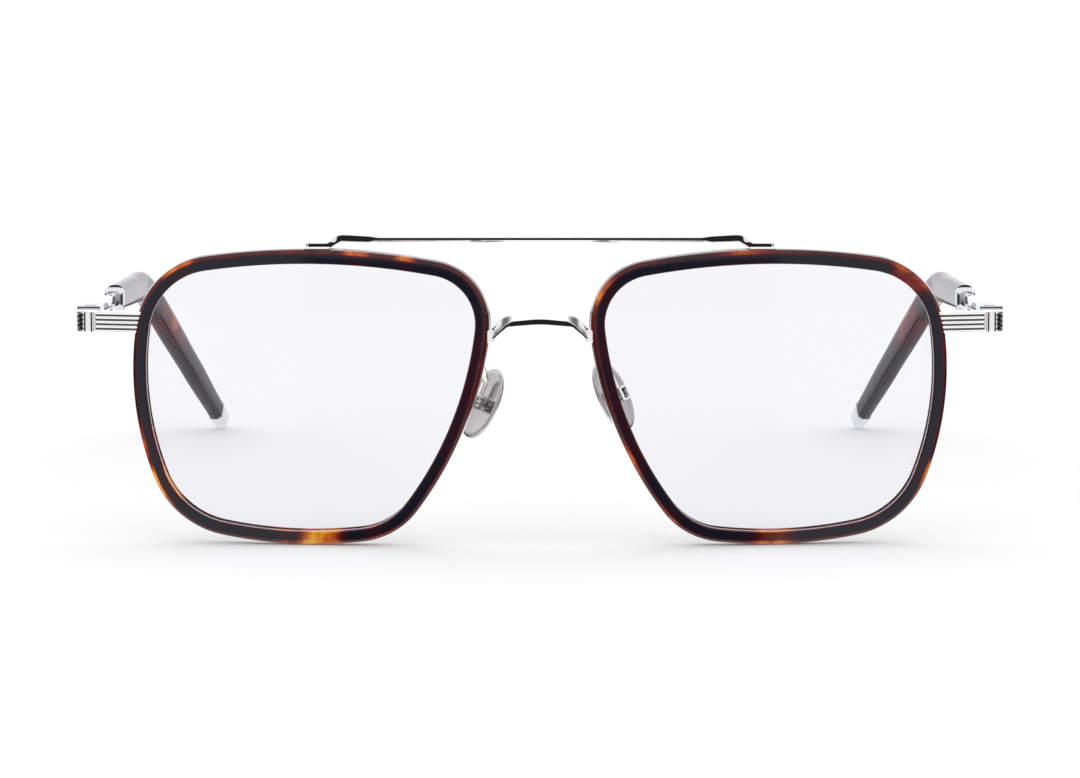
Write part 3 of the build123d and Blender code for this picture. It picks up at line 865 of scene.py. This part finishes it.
def end_piece_skin():
    """Skin of a ribbed end piece, and the painted shade of its grooves and corners.

    Its swept-back face turns the corner and runs back to the hinge.
    """
    sweep_back = radians(END_SWEEP)
    along = Vector((-cos(sweep_back), -sin(sweep_back)))  # inward along the face, in plan
    outward = Vector((sin(sweep_back), -cos(sweep_back)))
    corner = Vector((END_X, END_FRONT + (END_X - END_INNER) * tan(sweep_back)))
    arm_x = END_X - ARM_THICKNESS
    behind = ((END_HIDDEN, lug_front), (LUG_MIDDLE + LUG_WIDTH / 2, lug_front))
    behind += ((arm_x, corner.y + END_THICKNESS / 2),)
    collar_start = COLLAR_MIDDLE + COLLAR_WIDTH / 2
    collar_end = COLLAR_MIDDLE - COLLAR_WIDTH / 2
    # Stations of the face: distance from its outer end, groove and collar shares.
    face = (
        (END_X - END_HIDDEN, 1, 0),
        (END_X - END_HIDDEN - 0.1, 1, 0),
        (END_X - END_HIDDEN - 0.2, 1, 0),
        (GROOVE_END + 6.0, 1, 0),
        (GROOVE_END + 3.0, 1, 0),
        (GROOVE_END + 0.45, 1, 0),
        (GROOVE_END + 0.35, 1, 0),
        (GROOVE_END + 0.18, 0.8, 0),
        (GROOVE_END + 0.06, 0.3, 0),
        (GROOVE_END, 0, 0),
        (GROOVE_END - 0.05, 0, 0),
        (collar_start + 0.1, 0, 0),
        (collar_start + 0.05, 0, 0),
        (collar_start, 0, 0.25),
        (collar_start - 0.06, 0, 0.8),
        (collar_start - 0.2, 0, 1),
        (collar_end + 0.2, 0, 1),
        (collar_end + 0.06, 0, 0.8),
        (collar_end, 0, 0.25),
    )
    stations = []
    for distance, groove, proud in face:
        outer = corner + along * distance
        inner = Vector((min(outer.x, arm_x), lug_front))
        if inner.x > behind[1][0]:
            share = (inner.x - behind[1][0]) / (behind[2][0] - behind[1][0])
            inner.y += share * (behind[2][1] - lug_front)
        stations.append((outer, outward, inner, groove, proud))
    half_turn = radians(90 - END_SWEEP) / 2
    setback = END_ROUND * tan(half_turn)
    round_centre = corner + along * setback - outward * END_ROUND
    steps = 8
    for step in range(steps + 1):
        angle = sweep_back + 2 * half_turn * step / steps
        direction = Vector((sin(angle), -cos(angle)))
        inner = Vector((arm_x, behind[2][1] + 0.02 * (step + 1)))
        groove = min(1.0, step / 2)
        stations.append((round_centre + direction * END_ROUND, direction, inner, groove, 0))
    stations.append((Vector((END_X, END_BACK)), Vector((1, 0)), Vector((arm_x, END_BACK)), 1, 0))
    rings = []
    depths = []
    for outer, direction, inner, groove, proud in stations:
        ring = []
        for height, depth in end_profile(groove, proud):
            place = outer - direction * depth
            ring.append(FRONT @ Vector((place.x, END_V + height, -place.y)))
            inside = abs(height) < END_HEIGHT / 2 - END_EDGE - FIT
            # Painted shade, darker towards the groove floors; the corner gets a painted dark
            # reflection.
            shade = min(GROOVE_FLOOR_SHADE, depth / GROOVE_DEPTH) if groove else 0.0
            on_corner = direction.x > 0.25 and direction.y < -0.05
            depths.append((1.0 if on_corner else shade) if inside else 0.0)
        for height in (END_HEIGHT / 2, -END_HEIGHT / 2):
            ring.append(FRONT @ Vector((inner.x, END_V + height, -inner.y)))
            depths.append(0.0)
        rings.append(ring)
    return shell(rings), depths


end_skin, painted_groove_shade = end_piece_skin()
attributes = {"depth": painted_groove_shade}
make_pair("end_piece", [end_skin], painted_shade_palladium, "front", "polished_metal", attributes=attributes)

# ---------------------------------------------------------------- temples

leaf_end = HINGE @ Vector((0, LEAF_END, 0))
sleeve_start = HINGE @ Vector(SLEEVE_START)
knee = HINGE @ Vector(KNEE)
tip = HINGE @ Vector(TIP)
forward = (knee - tip).normalized()
sleeve_end = tip + forward * CAP[0]
core_end = sleeve_end + forward * CORE_SHORT


def arc_path(start, end, tangent):
    """Arc from start, leaving along the tangent, to end."""
    chord = end - start
    tangent = tangent.normalized()
    aside = chord - tangent * chord.dot(tangent)
    if aside.length < 0.001:
        return rounded_path([start, end], [], TEMPLE_STEP)
    radius = chord.length_squared / (2 * aside.length)
    aside.normalize()
    centre = start + aside * radius
    turn = 2 * acos(max(-1.0, min(1.0, chord.normalized().dot(tangent))))
    steps = ceil(chord.length / TEMPLE_STEP)
    return [
        centre + (-aside * cos(turn * k / steps) + tangent * sin(turn * k / steps)) * radius
        for k in range(steps + 1)
    ]


def bar_section(share):
    """Section of the metal temple bar between the sleeve and the hinge leaf."""
    height, thickness = between(BAR_SECTIONS, share)
    return superellipse(thickness, height, 3.2)


def sleeve_section(share):
    """Section of the acetate sleeve between the ferrule and the cap."""
    height, thickness = between(SLEEVE_SECTIONS, share)
    return superellipse(thickness, height, 2.9, 36)


bar_skin = sweep(arc_path(sleeve_start, leaf_end, sleeve_start - knee), bar_section, HINGE_UP)
core_path = rounded_path([sleeve_start, knee, core_end], [KNEE_RADIUS], TEMPLE_STEP)
core_circle = superellipse(2 * CORE_RADIUS, 2 * CORE_RADIUS, 2.0, 12)
core_skin = sweep(core_path, lambda share: core_circle, HINGE_UP)
make_pair("temple", [bar_skin, core_skin], polished, "temple_{}", "polished_metal")

sleeve_path = rounded_path([sleeve_start, knee, sleeve_end], [KNEE_RADIUS], TEMPLE_STEP)
sleeve_skin = sweep(sleeve_path, sleeve_section, HINGE_UP, *SLEEVE_ROUNDS)

# Warm patches of a sleeve: share of the way along it, shares of its half width and height
# where the patch is strongest, reach along it in millimetres and warmth.
SLEEVE_PATCHES = (
    (0.16, -0.8, 0.4, 4.0, 0.25),
    (0.30, 0.9, -0.3, 5.0, 0.34),
    (0.43, -0.6, -0.7, 4.0, 0.30),
    (0.60, -0.9, 0.5, 5.0, 0.42),
    (0.68, 0.3, 0.9, 4.5, 0.38),
    (0.88, -0.3, 0.9, 2.5, 0.20),
)
SLEEVE_GLOW = 0.06  # warmth that a sleeve has everywhere


def sleeve_warmth(vertices):
    """How warm the sleeve's acetate is at each vertex."""
    spots = []
    for share, across, upward, reach, warmth in SLEEVE_PATCHES:
        index = round(share * (len(sleeve_path) - 1))
        along = (sleeve_path[index + 1] - sleeve_path[index]).normalized()
        side = HINGE_UP.cross(along).normalized()
        height, width = between(SLEEVE_SECTIONS, share)
        spot = sleeve_path[index] + side * across * width / 2
        spots.append((spot + along.cross(side) * upward * height / 2, reach, warmth))
    values = []
    for point in vertices:
        warm = SLEEVE_GLOW
        for spot, reach, warmth in spots:
            warm += warmth * exp(-((point - spot).length / reach) ** 4)
        values.append(warm)
    return values


attributes = {"warmth": sleeve_warmth(sleeve_skin[0])}
make_pair("temple_tip", [sleeve_skin], acetate, "temple_{}", "acetate", attributes=attributes)

start_along = (sleeve_path[0] - sleeve_path[1]).normalized()


def ferrule_section(share):
    """Section of the ferrule, which narrows to the metal bar."""
    _, height, width = FERRULE
    size = between(FERRULE_TAPER, share)[0]
    return superellipse(width * size, height * size, 4.0, 36)


ferrule_path = rounded_path([sleeve_start, sleeve_start + start_along * FERRULE[0]], [], 0.12)
ferrule_skin = sweep(ferrule_path, ferrule_section, HINGE_UP)
make_pair("ferrule", [ferrule_skin], brushed, "temple_{}", "polished_metal")


def cap_skin():
    """Tapered metal cap with a rounded end."""
    length, height, width = CAP
    height_taper, width_taper = CAP_TAPER
    path = [sleeve_end - forward * length * share for share in CAP_SHARES]

    def section(share):
        size = (width * (1 - width_taper * share), height * (1 - height_taper * share))
        return superellipse(*size, 2.9, 36)

    return sweep(path, section, HINGE_UP, *CAP_ROUNDS)


make_pair("tip_cap", [cap_skin()], brushed, "temple_{}", "polished_metal")

# ---------------------------------------------------------------- nose pads


def pad_plane(centre):
    """Plane on the middle of a right-hand pad's face, facing the nose, with y up the pad."""
    splay = radians(PAD_SPLAY)
    tilt = radians(PAD_TILT)
    facing = Vector((-cos(splay) * cos(tilt), sin(splay), -cos(splay) * sin(tilt)))
    upward = Vector((-sin(tilt), 0, cos(tilt)))
    x, y, z = centre
    return plane(Vector((x, FRONT_Y + y, z)), upward.cross(facing), facing)


def pad_skin(face):
    """Thin oval pad on a plane."""
    rings = []
    for scale, height in PAD_PROFILE:
        ring = []
        for x, y in superellipse(PAD_WIDTH * scale, PAD_LENGTH * scale, 2.15, 48):
            ring.append(face @ Vector((x, y, height)))
        rings.append(ring)
    return shell(rings, flip=True)


for side in ("right", "left"):
    mirrored = side == "left"
    face = pad_plane(PAD_CENTRES[side])
    upward = axes(face)[1]
    post_path = [face @ Vector((0, 0, height)) for height in POST_HEIGHTS]
    post_outline = superellipse(*POST_SIZE, 2.2, 20)
    post = sweep(post_path, lambda share: post_outline, upward, 0, POST_ROUND)
    make_piece(
        f"nose_pad_{side}",
        [pad_skin(face), post],
        satin,
        f"nose_pad_{side}",
        [f"nose_pad_{side}"],
        "pad_metal",
        mirrored=mirrored,
    )
    box_top = face @ Vector((0, PAD_BOX_HEIGHT / 2, -PAD_PIVOT))
    arm_start = FRONT @ Vector(ARM_START)
    arm_points = [
        arm_start,
        arm_start + Vector((0, ARM_SETBACK, 0)),
        box_top + upward * ARM_RISE,
        box_top,
    ]
    arm_path = rounded_path(arm_points, [ARM_ROUND, ARM_ROUND])
    arm_circle = superellipse(2 * ARM_RADIUS, 2 * ARM_RADIUS, 2.0, 16)
    arm = sweep(arm_path, lambda share: arm_circle, FRONT_UP)
    make_piece(
        f"pad_arm_{side}",
        [arm],
        polished,
        "front",
        [f"pad_arm_{side}"],
        "polished_metal",
        mirrored=mirrored,
    )

# ---------------------------------------------------------------- carried-over CAD nodes

for side in ("right", "left"):
    carried = {"hinge_block": brushed, "hinge_leaf": brushed, "pad_box": polished}
    carried.update({"hinge_screw": steel, "rim_lock_screw": steel, "pad_screw": steel})
    for name, material in carried.items():
        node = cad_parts[f"{name}_{side}"]
        node.data.materials.clear()
        node.data.materials.append(material)

# ---------------------------------------------------------------- studio

CAMERA_DISTANCE = 800.0
CAMERA_RISE = 7.2  # degrees above the horizontal
CAMERA_FOCAL = 174.3
SENSOR_WIDTH = 36.0
AIM_V = 24.62  # height on the front that the camera looks at

aim = FRONT @ Vector((0, AIM_V, 0))
rise = radians(CAMERA_RISE)
away = Vector((0, -cos(rise), sin(rise)))
camera_data = bpy.data.cameras.new("camera")
camera_data.lens = CAMERA_FOCAL
camera_data.sensor_width = SENSOR_WIDTH
camera_data.clip_start = 0.05
camera_data.clip_end = 100.0
camera = bpy.data.objects.new("camera", camera_data)
camera.location = (aim + away * CAMERA_DISTANCE) * MM
camera.rotation_euler = (-away).to_track_quat("-Z", "Y").to_euler()
bpy.context.scene.collection.objects.link(camera)
bpy.context.scene.camera = camera

HALF_FLOOR = 20.0  # metres
FLOOR_CORNERS = ((-1, -1), (1, -1), (1, 1), (-1, 1))
floor_mesh = bpy.data.meshes.new("floor")
floor_points = [(x * HALF_FLOOR, y * HALF_FLOOR, 0.0) for x, y in FLOOR_CORNERS]
floor_mesh.from_pydata(floor_points, [], [(0, 1, 2, 3)])
floor = bpy.data.objects.new("floor", floor_mesh)
bpy.context.scene.collection.objects.link(floor)
floor_material, _, floor_shader, _ = new_material("pale_floor")
set_inputs(floor_shader, base_color=(0.93, 0.93, 0.93, 1.0), roughness=0.9)
floor_mesh.materials.append(floor_material)
floor.visible_glossy = False

STUDIO_STRENGTH = 1.12
# Dark cards: azimuth of the middle, half width, low and high edge, softness and darkness.
CARDS = (
    (0.0, 14.0, -42.0, 8.0, 1.5, 0.985),
    (88.0, 42.0, -30.0, 8.0, 4.0, 0.95),
    (-88.0, 42.0, -30.0, 8.0, 4.0, 0.95),
    (45.0, 16.0, 10.0, 54.0, 12.0, 0.85),
    (-45.0, 16.0, 10.0, 54.0, 12.0, 0.85),
)
BACK_TINT = (0.93, 0.955, 1.0)  # colour of mirrored light that comes from behind
HORIZON_SPREAD = 22.0  # degrees from the horizon over which mirrored light returns to white
HORIZON_DEPTH = 0.28


def studio_world(strength, cards):
    """White room all round, in which polished metal also mirrors dark upright cards."""
    world = bpy.data.worlds.new("studio")
    bpy.context.scene.world = world
    world.use_nodes = True
    tree = world.node_tree
    place = add_node(tree, "ShaderNodeTexCoord").outputs["Generated"]
    split = add_node(tree, "ShaderNodeSeparateXYZ", {0: place})
    x, y, z = split.outputs
    azimuth = maths(tree, "ARCTAN2", x, maths(tree, "MULTIPLY", y, -1.0))
    height = maths(tree, "ARCSINE", z)
    dark = None
    for middle, half_width, low, high, soft, depth in cards:
        away_from = maths(tree, "ABSOLUTE", maths(tree, "SUBTRACT", azimuth, radians(middle)))
        inside = maths(tree, "SUBTRACT", radians(half_width), away_from)
        inside = maths(tree, "DIVIDE", inside, radians(soft))
        above = maths(tree, "DIVIDE", maths(tree, "SUBTRACT", height, radians(low)), radians(soft))
        below = maths(tree, "DIVIDE", maths(tree, "SUBTRACT", radians(high), height), radians(soft))
        card = maths(tree, "MINIMUM", inside, maths(tree, "MINIMUM", above, below))
        card.node.use_clamp = True
        card = maths(tree, "MULTIPLY", card, depth)
        dark = card if dark is None else maths(tree, "MAXIMUM", dark, card)
    level = maths(tree, "POWER", maths(tree, "DIVIDE", height, radians(HORIZON_SPREAD)), 2.0)
    horizon = maths(tree, "EXPONENT", maths(tree, "MULTIPLY", level, -1.0))
    ahead = maths(tree, "SUBTRACT", 1.0, maths(tree, "MULTIPLY", y, 3.0))
    ahead.node.use_clamp = True
    horizon = maths(tree, "MULTIPLY", maths(tree, "MULTIPLY", horizon, ahead), HORIZON_DEPTH)
    dark = maths(tree, "MAXIMUM", dark, horizon)
    path = add_node(tree, "ShaderNodeLightPath").outputs["Is Glossy Ray"]
    light = maths(tree, "SUBTRACT", 1.0, maths(tree, "MULTIPLY", dark, path))
    light = maths(tree, "MULTIPLY", light, strength)
    background = tree.nodes["Background"]
    behind = maths(tree, "MULTIPLY", maths(tree, "MULTIPLY", y, 1.5), path)
    behind.node.use_clamp = True
    tint = ramp_of(tree, behind, ((0.0, (1.0, 1.0, 1.0)), (1.0, BACK_TINT)))
    tree.links.new(tint, background.inputs["Color"])
    tree.links.new(light, background.inputs["Strength"])


studio_world(STUDIO_STRENGTH, CARDS)
bpy.context.scene.view_settings.view_transform = "Standard"
